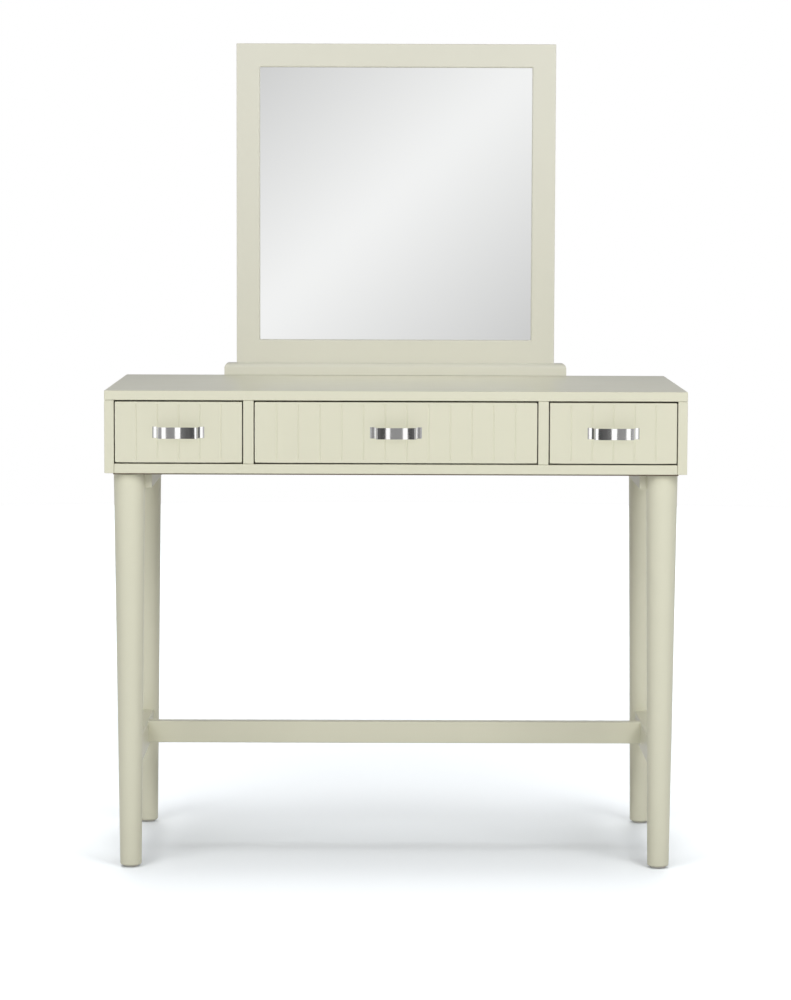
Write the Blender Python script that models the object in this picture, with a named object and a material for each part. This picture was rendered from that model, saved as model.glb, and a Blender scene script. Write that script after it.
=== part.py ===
"""Three-drawer vanity table with a fixed, square mirror standing behind its top.

Metres, +Z up, front facing -Y.  The origin is on the floor, under the middle of the
whole object's box.  Depths are written as distances back from the face of the case and
turned into Y by at_depth().
"""
from math import asin, cos, pi, sin, tan

import bmesh
import bpy
from mathutils import Matrix, Vector

# ---------------------------------------------------------------- driving dimensions
CASE_WIDTH = 0.914
CASE_DEPTH = 0.457
TABLE_HEIGHT = 0.762
CASE_HEIGHT = 0.130
OVERALL_HEIGHT = 1.3208
BOARD = 0.015               # top, bottom and side panels of the case
DIVIDER = 0.0165
BACK_PANEL = 0.012
UNDERSIDE_PANEL = 0.003
UNDERSIDE_INSET = 0.0125    # the thin panel stops short of the case's outer faces
GAP = 0.0003                # between pieces that touch
EDGE = 0.0008               # broken edges of painted boards

CENTER_OPENING = 0.446
REVEAL_SIDE = 0.0018        # gap at each side of a drawer front
REVEAL_TOP = 0.0025
REVEAL_BOTTOM = 0.0023
FRONT_THICKNESS = 0.018
GROOVE_WIDTH = 0.0026
GROOVE_DEPTH = 0.0018
SIDE_DRAWER_PLANKS = 6
CENTER_DRAWER_PLANKS = 13
DRAWER_WALL = 0.012
DRAWER_BACK_DEPTH = 0.400   # rear face of the drawer box
DRAWER_FLOOR = 0.004
DRAWER_BOX_HEIGHT = 0.080
DRAWER_BOX_LIFT = 0.008     # drawer box above the case floor
SLIDE_SPACE = 0.0127        # between a drawer box and the wall beside it

SLIDE_FRONT = 0.024
SLIDE_LENGTH = 0.365
SLIDE_HEIGHT = 0.042
SLIDE_METAL = 0.0013
SLIDE_RAIL_DEPTH = 0.0115
RUNNER_HEIGHT = 0.030
RUNNER_DEPTH = 0.0085

HANDLE_LENGTH = 0.0815
HANDLE_HEIGHT = 0.0178
HANDLE_REACH = 0.022
HANDLE_STRAP = 0.0026
HANDLE_FOOT = 0.0095        # flat pad at each end
HANDLE_RISE = 0.0038        # width of the riser between pad and bridge
HANDLE_BEND = 0.0030        # radius of the strap's centre line where it bends
HANDLE_BOW_RADIUS = 0.340

LEG_INSET = 0.0365          # leg axis in from the case's side and end faces
LEG_TOP_RADIUS = 0.0246
LEG_FOOT_RADIUS = 0.0171
LEG_SEGMENTS = 48
FOOT_ROUNDING = 0.0030
GLIDE_RADIUS = 0.0120
GLIDE_THICKNESS = 0.0030
GLIDE_CHAMFER = 0.0008

LEG_RAIL_THICKNESS = 0.023
LEG_RAIL_INNER = 0.0355     # from leg axis towards the middle of the table
LEG_RAIL_OUTER = 0.0225
STRETCHER_TOP = 0.195
SIDE_STRETCHER_HEIGHT = 0.044
SIDE_STRETCHER_WIDTH = 0.023
CROSS_STRETCHER_HEIGHT = 0.036
CROSS_STRETCHER_WIDTH = 0.020
CROSS_STRETCHER_DEPTH = 0.280   # its front face, back from the case's face

MIRROR_WIDTH = 0.539
MIRROR_MEMBER = 0.0395      # width of stiles and rails
MIRROR_THICKNESS = 0.018
STILE_FOOT_HEIGHT = 0.640   # lower end of the stiles, behind the case
INNER_CHAMFER = 0.0030      # round the sight opening, on the frame's face
INNER_CHAMFER_DEPTH = 0.0020
POCKET_MARGIN = 0.008       # glass pocket beyond the sight opening
POCKET_DEPTH = 0.0095       # from the frame's rear face
GLASS_THICKNESS = 0.004
BACKING_THICKNESS = 0.003
BASE_WIDTH = 0.580
BASE_HEIGHT = 0.0205
BASE_LEDGE = 0.012          # on the table top, in front of the mirror frame
BASE_ROUNDING = 0.008

# ---------------------------------------------------------------- derived positions
HALF_WIDTH = CASE_WIDTH / 2
CASE_BOTTOM = TABLE_HEIGHT - CASE_HEIGHT
CASE_FLOOR = CASE_BOTTOM + BOARD
CASE_CEILING = TABLE_HEIGHT - BOARD
INNER_HALF = HALF_WIDTH - BOARD
DIVIDER_INNER = CENTER_OPENING / 2
DIVIDER_OUTER = DIVIDER_INNER + DIVIDER
LEG_TOP = CASE_BOTTOM - UNDERSIDE_PANEL
LEG_X = HALF_WIDTH - LEG_INSET
FRONT_Y = -CASE_DEPTH / 2 + (HANDLE_REACH - MIRROR_THICKNESS) / 2
MIRROR_SILL = TABLE_HEIGHT + BASE_HEIGHT + MIRROR_MEMBER
MIRROR_HEAD = OVERALL_HEIGHT - MIRROR_MEMBER
SIGHT_HALF = MIRROR_WIDTH / 2 - MIRROR_MEMBER
SIDES = (("left", -1), ("right", 1))


def at_depth(depth):
    """World Y of a plane that lies this far back from the case's face."""
    return FRONT_Y + depth


# ---------------------------------------------------------------- materials
def material(name, color, roughness, metallic=0.0):
    """Principled material with one colour."""
    mat = bpy.data.materials.new(name)
    mat.use_nodes = True
    shader = mat.node_tree.nodes["Principled BSDF"]
    shader.inputs["Base Color"].default_value = (*color, 1.0)
    shader.inputs["Roughness"].default_value = roughness
    shader.inputs["Metallic"].default_value = metallic
    mat.diffuse_color = (*color, 1.0)
    return mat


# ---------------------------------------------------------------- geometry helpers
def add_object(name, bm, mat, smooth_angle=None):
    """Turn a bmesh into one named object with its normals facing out."""
    bmesh.ops.recalc_face_normals(bm, faces=bm.faces)
    mesh = bpy.data.meshes.new(name)
    bm.to_mesh(mesh)
    bm.free()
    if smooth_angle is not None:
        mesh.shade_smooth()
        mesh.set_sharp_from_angle(angle=smooth_angle)
    mesh.materials.append(mat)
    obj = bpy.data.objects.new(name, mesh)
    bpy.context.scene.collection.objects.link(obj)
    return obj


def prism(name, outline, low, high, axis, mat, smooth_angle=None):
    """Extrude an outline along 'y' or 'z'.

    The outline's two coordinates are the other two world axes, in the order x, y, z.
    """
    place = {
        "y": lambda u, v, w: (u, w, v),
        "z": lambda u, v, w: (u, v, w),
    }[axis]
    bm = bmesh.new()
    start = [bm.verts.new(place(u, v, low)) for u, v in outline]
    end = [bm.verts.new(place(u, v, high)) for u, v in outline]
    bm.faces.new(start)
    bm.faces.new(end)
    for i in range(len(outline)):
        j = (i + 1) % len(outline)
        bm.faces.new((start[i], start[j], end[j], end[i]))
    return add_object(name, bm, mat, smooth_angle)


def bevel_edges(obj, width):
    """Break an object's sharp edges with a Bevel modifier."""
    modifier = obj.modifiers.new("broken_edges", "BEVEL")
    modifier.width = width
    modifier.segments = 1
    modifier.limit_method = "ANGLE"
    modifier.angle_limit = pi / 3


def board(name, low, high, mat, edge=EDGE):
    """Rectangular board between two corners, with lightly broken edges."""
    outline = [(low[0], low[1]), (high[0], low[1]), (high[0], high[1]), (low[0], high[1])]
    obj = prism(name, outline, low[2], high[2], "z", mat)
    if edge:
        bevel_edges(obj, edge)
    return obj


def hide_cutter(obj):
    """Mark an object as a guide that is no part of the model."""
    obj.display_type = "WIRE"
    obj.hide_render = True
    return obj


def cut(obj, cutter):
    """Subtract a cutter with the exact solver."""
    modifier = obj.modifiers.new("cut", "BOOLEAN")
    modifier.operation = "DIFFERENCE"
    modifier.solver = "EXACT"
    modifier.object = cutter


def turned(name, profile, center, mat):
    """Turn a (radius, z) profile about a vertical axis; both ends are closed."""
    bm = bmesh.new()
    rings = []
    for radius, z in profile:
        ring = []
        for i in range(LEG_SEGMENTS):
            angle = 2 * pi * i / LEG_SEGMENTS
            ring.append(bm.verts.new((radius * cos(angle), radius * sin(angle), z)))
        rings.append(ring)
    bm.faces.new(rings[0])
    bm.faces.new(rings[-1])
    for lower, upper in zip(rings, rings[1:]):
        for i in range(LEG_SEGMENTS):
            j = (i + 1) % LEG_SEGMENTS
            bm.faces.new((lower[i], lower[j], upper[j], upper[i]))
    obj = add_object(name, bm, mat, smooth_angle=pi / 5)
    obj.location = (center[0], center[1], 0.0)
    return obj


# ---------------------------------------------------------------- case
def build_case(paint, hardboard):
    """The flat box that holds the drawers: six panels, two dividers and a thin underside."""
    front, rear = at_depth(0), at_depth(CASE_DEPTH)
    board("top_panel", (-HALF_WIDTH, front, CASE_CEILING), (HALF_WIDTH, rear, TABLE_HEIGHT), paint)
    for side, sign in SIDES:
        xs = sorted((sign * INNER_HALF, sign * HALF_WIDTH))
        board(f"side_panel_{side}", (xs[0], front, CASE_BOTTOM), (xs[1], rear, CASE_CEILING - GAP), paint)
        xs = sorted((sign * DIVIDER_INNER, sign * DIVIDER_OUTER))
        board(
            f"divider_{side}",
            (xs[0], front, CASE_FLOOR + GAP),
            (xs[1], rear - BACK_PANEL - GAP, CASE_CEILING - GAP),
            paint,
        )
    inner = INNER_HALF - GAP
    board("bottom_panel", (-inner, front, CASE_BOTTOM), (inner, rear, CASE_FLOOR), paint)
    board(
        "back_panel",
        (-inner, rear - BACK_PANEL, CASE_FLOOR + GAP),
        (inner, rear, CASE_CEILING - GAP),
        paint,
    )
    panel_half = HALF_WIDTH - UNDERSIDE_INSET
    board(
        "underside_panel",
        (-panel_half, front + UNDERSIDE_INSET, LEG_TOP + GAP),
        (panel_half, rear - UNDERSIDE_INSET, CASE_BOTTOM - GAP),
        hardboard,
        edge=None,
    )


# ---------------------------------------------------------------- drawers
def front_outline(low_x, high_x, planks):
    """Plan of a drawer front: V-grooves part its face into equal planks."""
    face, back = at_depth(0), at_depth(FRONT_THICKNESS)
    outline = [(low_x, back), (low_x, face + EDGE), (low_x + EDGE, face)]
    plank = (high_x - low_x) / planks
    for i in range(1, planks):
        middle = low_x + i * plank
        outline += [
            (middle - GROOVE_WIDTH / 2, face),
            (middle, face + GROOVE_DEPTH),
            (middle + GROOVE_WIDTH / 2, face),
        ]
    outline += [(high_x - EDGE, face), (high_x, face + EDGE), (high_x, back)]
    return outline


def rounded_corner(before, corner, after, radius, steps):
    """(point, normal) pairs round a filleted corner; normals lie left of the path."""
    arrive = (corner - before).normalized()
    leave = (after - corner).normalized()
    turn = arrive.angle_signed(leave)
    setback = radius * tan(abs(turn) / 2)
    side = 1 if turn < 0 else -1
    start_normal = Vector((-arrive.y, arrive.x))
    center = corner - arrive * setback + start_normal * radius * side
    found = []
    for i in range(steps + 1):
        normal = start_normal.copy()
        normal.rotate(Matrix.Rotation(-turn * i / steps, 2))
        found.append((center - normal * radius * side, normal))
    return found


def handle_outline(center_x):
    """Plan of the strap: pad, riser and slightly bowed bridge, then the same mirrored.

    The centre line is worked out for the right half, from its end to the middle, and
    offset half a thickness to both sides.
    """
    pad = HANDLE_STRAP / 2 + GAP
    crown = HANDLE_REACH - HANDLE_STRAP / 2
    pad_edge = HANDLE_LENGTH / 2 - HANDLE_FOOT
    bridge_edge = pad_edge - HANDLE_RISE

    def bridge(x):
        return Vector((x, crown - x * x / (2 * HANDLE_BOW_RADIUS)))

    end = Vector((HANDLE_LENGTH / 2, pad))
    foot = Vector((pad_edge, pad))
    shoulder = bridge(bridge_edge)
    line = [(end, Vector((0.0, -1.0)))]
    line += rounded_corner(end, foot, shoulder, HANDLE_BEND, 5)
    line += rounded_corner(foot, shoulder, bridge(bridge_edge / 2), HANDLE_BEND, 5)
    for i in range(3, 0, -1):
        x = bridge_edge * i / 5
        line.append((bridge(x), Vector((-x / HANDLE_BOW_RADIUS, -1.0)).normalized()))
    half = HANDLE_STRAP / 2
    right = [point - normal * half for point, normal in line]
    right_inner = [point + normal * half for point, normal in line]
    outer = right + [Vector((-p.x, p.y)) for p in reversed(right)]
    inner = right_inner + [Vector((-p.x, p.y)) for p in reversed(right_inner)]
    return [(center_x + p.x, at_depth(-p.y)) for p in outer + inner[::-1]]


def build_drawer(name, low_x, high_x, planks, mats):
    """One drawer: planked front, four-sided box, chrome strap handle and two slides."""
    paint, wood, chrome, zinc = mats
    front_z = (CASE_FLOOR + REVEAL_BOTTOM, CASE_CEILING - REVEAL_TOP)
    prism(
        f"drawer_{name}_front",
        front_outline(low_x + REVEAL_SIDE, high_x - REVEAL_SIDE, planks),
        *front_z,
        "z",
        paint,
    )

    box_low, box_high = low_x + SLIDE_SPACE, high_x - SLIDE_SPACE
    box_front, box_rear = at_depth(FRONT_THICKNESS) + GAP, at_depth(DRAWER_BACK_DEPTH)
    floor = CASE_FLOOR + DRAWER_BOX_LIFT
    rim = floor + DRAWER_BOX_HEIGHT
    board(f"drawer_{name}_side_left", (box_low, box_front, floor),
          (box_low + DRAWER_WALL, box_rear, rim), wood)
    board(f"drawer_{name}_side_right", (box_high - DRAWER_WALL, box_front, floor),
          (box_high, box_rear, rim), wood)
    inner_low, inner_high = box_low + DRAWER_WALL + GAP, box_high - DRAWER_WALL - GAP
    board(f"drawer_{name}_back", (inner_low, box_rear - DRAWER_WALL, floor),
          (inner_high, box_rear, rim), wood)
    board(f"drawer_{name}_bottom", (inner_low, box_front, floor + DRAWER_FLOOR),
          (inner_high, box_rear - DRAWER_WALL - GAP, floor + 2 * DRAWER_FLOOR), wood, edge=None)

    middle_z = sum(front_z) / 2
    prism(
        f"handle_{name}",
        handle_outline((low_x + high_x) / 2),
        middle_z - HANDLE_HEIGHT / 2,
        middle_z + HANDLE_HEIGHT / 2,
        "z",
        chrome,
        smooth_angle=pi / 5,
    )

    slide_z = floor + DRAWER_BOX_HEIGHT / 2
    for side, sign, wall in (("left", 1, low_x), ("right", -1, high_x)):
        build_slide(name, side, sign, wall, slide_z, zinc)


def channel_outline(back_x, sign, depth, middle_z, height):
    """C-shaped section, its web at back_x and its lips reaching sign * depth away."""
    web, lip = back_x + sign * SLIDE_METAL, back_x + sign * depth
    low, high = middle_z - height / 2, middle_z + height / 2
    return [
        (back_x, low), (lip, low), (lip, low + SLIDE_METAL), (web, low + SLIDE_METAL),
        (web, high - SLIDE_METAL), (lip, high - SLIDE_METAL), (lip, high), (back_x, high),
    ]


def build_slide(drawer, side, sign, wall, middle_z, zinc):
    """Side-mounted slide: a channel on the case, and a narrower one on the drawer in it."""
    span = (at_depth(SLIDE_FRONT), at_depth(SLIDE_FRONT + SLIDE_LENGTH))
    rail_x = wall + sign * GAP
    prism(f"slide_rail_{drawer}_{side}",
          channel_outline(rail_x, sign, SLIDE_RAIL_DEPTH, middle_z, SLIDE_HEIGHT),
          *span, "y", zinc)
    runner_x = wall + sign * (SLIDE_SPACE - GAP)
    prism(f"slide_runner_{drawer}_{side}",
          channel_outline(runner_x, -sign, RUNNER_DEPTH, middle_z, RUNNER_HEIGHT),
          *span, "y", zinc)


# ---------------------------------------------------------------- legs and stretchers
def leg_radius(z):
    """The legs taper evenly from the case to the floor."""
    return LEG_FOOT_RADIUS + (LEG_TOP_RADIUS - LEG_FOOT_RADIUS) * z / LEG_TOP


def leg_profile():
    """(radius, z) of a leg from its foot up, with a rounded arris at the foot."""
    profile = []
    steps = 4
    for i in range(steps + 1):
        angle = pi / 2 * i / steps
        radius = LEG_FOOT_RADIUS - FOOT_ROUNDING * (1 - sin(angle))
        profile.append((radius, GLIDE_THICKNESS + GAP + FOOT_ROUNDING * (1 - cos(angle))))
    profile.append((leg_radius(LEG_TOP), LEG_TOP))
    return profile


def coped_bar(name, axis_x, inner, outer, low, high, mat):
    """Bar running front to back between two legs, its ends hollowed to fit round them.

    inner and outer are its faces' distances from the legs' axes, measured along X.
    """
    front_axis, rear_axis = at_depth(LEG_INSET), at_depth(CASE_DEPTH - LEG_INSET)
    steps = 16
    toward_middle = -1 if axis_x > 0 else 1
    bm = bmesh.new()
    loops = []
    for z in (low, high):
        hollow = leg_radius(z) + GAP
        first, last = -asin(outer / hollow), asin(min(inner / hollow, 1.0))
        ends = []
        for i in range(steps + 1):
            angle = first + (last - first) * i / steps
            ends.append((hollow * sin(angle), hollow * cos(angle)))
        if inner > hollow:
            ends.append((inner, 0.0))
        front_end = [(axis_x + toward_middle * u, front_axis + v, z) for u, v in ends]
        rear_end = [(axis_x + toward_middle * u, rear_axis - v, z) for u, v in ends]
        loops.append([bm.verts.new(point) for point in front_end + rear_end[::-1]])
    bm.faces.new(loops[0])
    bm.faces.new(loops[1])
    count = len(loops[0])
    for i in range(count):
        j = (i + 1) % count
        bm.faces.new((loops[0][i], loops[0][j], loops[1][j], loops[1][i]))
    return add_object(name, bm, mat, smooth_angle=pi / 5)


def build_underframe(paint, nylon):
    """Four turned legs on glides, two leg rails, two side stretchers and a cross stretcher."""
    glide_profile = [
        (GLIDE_RADIUS - GLIDE_CHAMFER, 0.0),
        (GLIDE_RADIUS, GLIDE_CHAMFER),
        (GLIDE_RADIUS, GLIDE_THICKNESS),
    ]
    for side, sign in SIDES:
        for end, depth in (("front", LEG_INSET), ("rear", CASE_DEPTH - LEG_INSET)):
            center = (sign * LEG_X, at_depth(depth))
            turned(f"leg_{end}_{side}", leg_profile(), center, paint)
            turned(f"foot_glide_{end}_{side}", glide_profile, center, nylon)
        coped_bar(f"leg_rail_{side}", sign * LEG_X, LEG_RAIL_INNER, LEG_RAIL_OUTER,
                  LEG_TOP - LEG_RAIL_THICKNESS, LEG_TOP, paint)
        coped_bar(f"side_stretcher_{side}", sign * LEG_X,
                  SIDE_STRETCHER_WIDTH / 2, SIDE_STRETCHER_WIDTH / 2,
                  STRETCHER_TOP - SIDE_STRETCHER_HEIGHT, STRETCHER_TOP, paint)
    half = LEG_X - SIDE_STRETCHER_WIDTH / 2 - GAP
    front = at_depth(CROSS_STRETCHER_DEPTH)
    board("cross_stretcher", (-half, front, STRETCHER_TOP - CROSS_STRETCHER_HEIGHT),
          (half, front + CROSS_STRETCHER_WIDTH, STRETCHER_TOP), paint)


# ---------------------------------------------------------------- mirror
def sight_cutter(face_y):
    """Tapered block that chamfers the frame's inner front edges."""
    bm = bmesh.new()
    middle_z = (MIRROR_SILL + MIRROR_HEAD) / 2
    half_height = (MIRROR_HEAD - MIRROR_SILL) / 2
    loops = []
    for y, grow in ((face_y - INNER_CHAMFER_DEPTH, 2 * INNER_CHAMFER),
                    (face_y + INNER_CHAMFER_DEPTH, 0.0)):
        half_x, half_z = SIGHT_HALF + grow, half_height + grow
        corners = ((-half_x, -half_z), (half_x, -half_z), (half_x, half_z), (-half_x, half_z))
        loops.append([bm.verts.new((x, y, middle_z + z)) for x, z in corners])
    bm.faces.new(loops[0])
    bm.faces.new(loops[1])
    for i in range(4):
        j = (i + 1) % 4
        bm.faces.new((loops[0][i], loops[0][j], loops[1][j], loops[1][i]))
    return hide_cutter(add_object("guide_sight_chamfer", bm, None))


def base_outline(face_y, rear_y):
    """Plan of the base moulding: a ledge in front, with a return at each end."""
    half, frame_half = BASE_WIDTH / 2, MIRROR_WIDTH / 2 + GAP
    front = at_depth(CASE_DEPTH) - BASE_LEDGE
    return [
        (-half, front), (half, front), (half, rear_y), (frame_half, rear_y),
        (frame_half, face_y - GAP), (-frame_half, face_y - GAP), (-frame_half, rear_y),
        (-half, rear_y),
    ]


def build_base(face_y, rear_y, paint):
    """Base moulding on the table top, rounded over along its front and end top edges."""
    obj = prism("mirror_base", base_outline(face_y, rear_y), TABLE_HEIGHT + GAP,
                TABLE_HEIGHT + BASE_HEIGHT, "z", paint)
    bm = bmesh.new()
    bm.from_mesh(obj.data)
    front = min(v.co.y for v in bm.verts)
    outer_top = []
    for edge in bm.edges:
        a, b = (v.co for v in edge.verts)
        on_top = min(a.z, b.z) > TABLE_HEIGHT + BASE_HEIGHT / 2
        along_front = abs(a.y - front) < GAP and abs(b.y - front) < GAP
        along_end = min(abs(a.x), abs(b.x)) > BASE_WIDTH / 2 - GAP
        if on_top and (along_front or along_end):
            outer_top.append(edge)
    bmesh.ops.bevel(bm, geom=outer_top, offset=BASE_ROUNDING, segments=5, profile=0.5,
                    affect="EDGES")
    bm.to_mesh(obj.data)
    bm.free()
    obj.data.shade_smooth()
    obj.data.set_sharp_from_angle(angle=pi / 5)


def build_mirror(paint, silver, hardboard):
    """Fixed mirror: long stiles that run down behind the case, two rails, glass, backing."""
    face_y = at_depth(CASE_DEPTH) + GAP
    rear_y = at_depth(CASE_DEPTH) + MIRROR_THICKNESS
    half = MIRROR_WIDTH / 2
    rail_half = SIGHT_HALF - GAP
    pocket_half = SIGHT_HALF + POCKET_MARGIN
    pocket_low, pocket_high = MIRROR_SILL - POCKET_MARGIN, MIRROR_HEAD + POCKET_MARGIN
    pocket = hide_cutter(board("guide_glass_pocket",
                               (-pocket_half, rear_y - POCKET_DEPTH, pocket_low),
                               (pocket_half, rear_y + POCKET_DEPTH, pocket_high), None, edge=None))
    chamfer = sight_cutter(face_y)

    members = []
    for side, sign in SIDES:
        xs = sorted((sign * SIGHT_HALF, sign * half))
        members.append(board(f"mirror_stile_{side}", (xs[0], face_y, STILE_FOOT_HEIGHT),
                             (xs[1], rear_y, OVERALL_HEIGHT), paint, edge=None))
    members.append(board("mirror_top_rail", (-rail_half, face_y, MIRROR_HEAD),
                         (rail_half, rear_y, OVERALL_HEIGHT), paint, edge=None))
    members.append(board("mirror_bottom_rail", (-rail_half, face_y, TABLE_HEIGHT + GAP),
                         (rail_half, rear_y, MIRROR_SILL), paint, edge=None))
    for member in members:
        cut(member, pocket)
        cut(member, chamfer)

    glass_front = rear_y - POCKET_DEPTH + GAP
    glass_rear = glass_front + GLASS_THICKNESS
    board("mirror_glass", (-pocket_half + GAP, glass_front, pocket_low + GAP),
          (pocket_half - GAP, glass_rear, pocket_high - GAP), silver, edge=None)
    board("mirror_backing", (-pocket_half + GAP, glass_rear + GAP, pocket_low + GAP),
          (pocket_half - GAP, glass_rear + GAP + BACKING_THICKNESS, pocket_high - GAP),
          hardboard, edge=None)
    build_base(face_y, rear_y, paint)


# ---------------------------------------------------------------- whole object
def main():
    """Clear the scene and build every piece."""
    for obj in list(bpy.data.objects):
        bpy.data.objects.remove(obj, do_unlink=True)

    paint = material("cream_paint", (0.72, 0.71, 0.56), 0.35)
    wood = material("drawer_wood", (0.62, 0.47, 0.30), 0.55)
    hardboard = material("brown_hardboard", (0.33, 0.22, 0.13), 0.70)
    chrome = material("polished_chrome", (0.78, 0.78, 0.79), 0.08, 1.0)
    silver = material("mirror_silvering", (0.90, 0.91, 0.91), 0.02, 1.0)
    zinc = material("zinc_plated_steel", (0.60, 0.61, 0.62), 0.35, 1.0)
    nylon = material("pale_nylon", (0.75, 0.74, 0.70), 0.50)

    build_case(paint, hardboard)
    mats = (paint, wood, chrome, zinc)
    build_drawer("left", -INNER_HALF, -DIVIDER_OUTER, SIDE_DRAWER_PLANKS, mats)
    build_drawer("center", -DIVIDER_INNER, DIVIDER_INNER, CENTER_DRAWER_PLANKS, mats)
    build_drawer("right", DIVIDER_OUTER, INNER_HALF, SIDE_DRAWER_PLANKS, mats)
    build_underframe(paint, nylon)
    build_mirror(paint, silver, hardboard)


main()
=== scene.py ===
"""Looks of the vanity table with mirror: fine meshes, procedural finishes, studio, camera.

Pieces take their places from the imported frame, in metres, +Z up, front facing -Y.
"""
from math import cos, pi, radians, sin, tan

import bmesh
import bpy
from mathutils import Matrix, Vector


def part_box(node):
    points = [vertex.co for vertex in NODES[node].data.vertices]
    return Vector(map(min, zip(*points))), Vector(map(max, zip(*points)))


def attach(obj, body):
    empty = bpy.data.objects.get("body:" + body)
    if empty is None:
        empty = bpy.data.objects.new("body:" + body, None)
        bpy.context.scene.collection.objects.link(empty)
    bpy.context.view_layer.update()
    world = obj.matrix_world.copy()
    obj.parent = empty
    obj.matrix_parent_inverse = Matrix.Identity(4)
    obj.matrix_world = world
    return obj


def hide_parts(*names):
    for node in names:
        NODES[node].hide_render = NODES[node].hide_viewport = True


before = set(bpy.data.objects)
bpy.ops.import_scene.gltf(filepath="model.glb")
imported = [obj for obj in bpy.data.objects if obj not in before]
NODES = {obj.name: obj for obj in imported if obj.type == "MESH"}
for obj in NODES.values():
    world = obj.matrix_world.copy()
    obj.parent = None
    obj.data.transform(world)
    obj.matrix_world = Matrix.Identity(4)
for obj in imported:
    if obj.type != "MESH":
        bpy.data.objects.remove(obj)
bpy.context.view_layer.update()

SIDES = (("left", -1), ("right", 1))
DRAWERS = ("left", "center", "right")
FRONT_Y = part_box("top_panel")[0].y

# ---------------------------------------------------------------- sizes, in metres
# Screw and bolt sizes are the radius and the height of the head.
NEAR = 1e-6                 # places closer than this count as one
LONG_EDGE = 0.010           # an edge longer than this runs along its piece
CUTTER_OVERRUN = 0.010      # cutters stand this far out of the wood

ARRIS = 0.0010              # rounded edges of the painted boards
WOOD_ARRIS = 0.0012
HARDBOARD_ARRIS = 0.0004
SHEET_ARRIS = 0.0003        # of the glass and the drawers' bottoms

LEG_FOOT_RADIUS = 0.0171
LEG_SEGMENTS = 96
LEG_RINGS = 12
FOOT_ROUNDING = 0.0030
GLIDE_DOME = ((0.80, 0.0), (0.93, 0.0004), (1.00, 0.0012))  # share of the radius, height
LEG_RAIL_ARRIS = 0.0016
LEG_RAIL_SCREW = (0.0045, 0.0020)
LEG_RAIL_SCREWS = (0.2, 0.5, 0.8)   # shares of the rails' length
STRETCHER_ARRIS = 0.0018
SIDE_TENON = 0.0080         # the side stretchers run this far into the legs
CROSS_TENON = 0.0018        # and the cross stretcher into the side stretchers

PLANKS = {"left": 6, "center": 13, "right": 6}
GROOVE_WIDTH = 0.0032
GROOVE_DEPTH = 0.0010
GROOVE_SHOULDER = 0.0005
GROOVE_STOP = 0.0034        # grooves run out this far inside the front's edge
FRONT_ROUNDING = 0.0012

HANDLE_STRAP = 0.0026       # thickness of the strap
HANDLE_FOOT = 0.0080        # length of the pads at its ends
HANDLE_RISE = 0.0024        # length over which it rises from pad to bridge
HANDLE_BEND = 0.0018        # radius of its bends
HANDLE_BOW_RADIUS = 0.380
HANDLE_PAD_TILT = 0.0001    # the pads' outer ends stand this much proud
HANDLE_NOSE = 0.0024        # length of the pads' rounded ends
HANDLE_NOSE_DROP = 0.0013   # the pads thin out by this much there
HANDLE_END_ROUNDING = 0.0006
HANDLE_EDGE_ROUNDING = 0.0005
HANDLE_SCREW = (0.0042, 0.0024)
BEND_STEPS = 10
BOW_STEPS = 13
NOSE_STEPS = 8

SLIDE_METAL = 0.0013
SLIDE_FOLD = SLIDE_METAL * 0.35     # rounding of the folds
SLIDE_SLOT = (0.0080, 0.0030)       # half the length between the ends' centres, radius
SLIDE_SLOTS = (0.22, 0.40, 0.75)    # shares of the slides' length
SLIDE_SCREW = (0.0034, 0.0013)
SLIDE_SCREWS = (0.08, 0.58, 0.92)

FRAME_ARRIS = 0.0012        # outer edges of the mirror frame
SIGHT_ROUNDING = 0.0030     # its inner front edge
JOINT = 0.0003              # its rails close the gap to its stiles
POCKET_DEPTH = 0.0095       # glass pocket, from its rear face
POCKET_PLAY = 0.0003        # round the backing
BOLT_HEIGHTS = (0.664, 0.724)       # above the floor, behind the case
BOLT_BORE = (0.0080, 0.0030)        # radius, depth
BOLT_HEAD = (0.0065, 0.0026)
BASE_ROUNDING = 0.0080
POINT_SIZE = (0.0110, 0.0070, 0.0006)   # the backing's points: length, width, thickness
POINT_ARRIS = 0.0002
POINT_GAP = 0.0001
POINTS_PER_SIDE = 4

SCREW_SEGMENTS = 36
SCREW_SINK = 0.0002         # heads reach this far into what they hold
SCREW_SIDE = 0.25           # share of the height that is upright, below the dome
SCREW_FLAT = 0.45           # share of the radius that the dome leaves flat
SOCKET_RADIUS = 0.42        # share of the radius
SOCKET_FLOOR = 0.35         # share of the height

# ---------------------------------------------------------------- studio, relative to white
FRONT_GLOW = 0.75
SIDE_GLOW = 0.28
BACK_GLOW = 0.60
BACK_LEFT = 0.7             # share of it behind on the left
CEILING_GLOW = 0.25
FLOOR_GLOW = 0.43           # beyond the edge of the floor

MIRROR_CARD_GLOW = 0.975    # middle of the card that the mirror reflects
MIRROR_CARD_DARK = 0.55     # least glow, far from the middle
MIRROR_CARD_FADE = 5.5
MIRROR_CARD_BLEND = 0.00003     # softens the middle
MIRROR_CARD_SLANT = (-0.673, 0.741)     # across its bright diagonal
MIRROR_CARD_DROP = 0.004    # of the diagonal below the horizon
MIRROR_CARD_ACROSS = 0.20   # half its width, as a slope
MIRROR_CARD_RISE = (-0.12, 0.16)    # from its foot to its head, as slopes
MIRROR_CARD_SOFT = (0.06, 0.03)     # of its sides, and of its foot and head

FLOOR_RADIUS = 6.0
FLOOR_LIFT = 0.100          # lifts the floor to white, for the camera only
FLOOR_LIFT_RISE = 0.30      # is added to that far from the table
FLOOR_LIFT_REACH = (1.2, 2.4)       # where the rise starts and where it is complete

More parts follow.
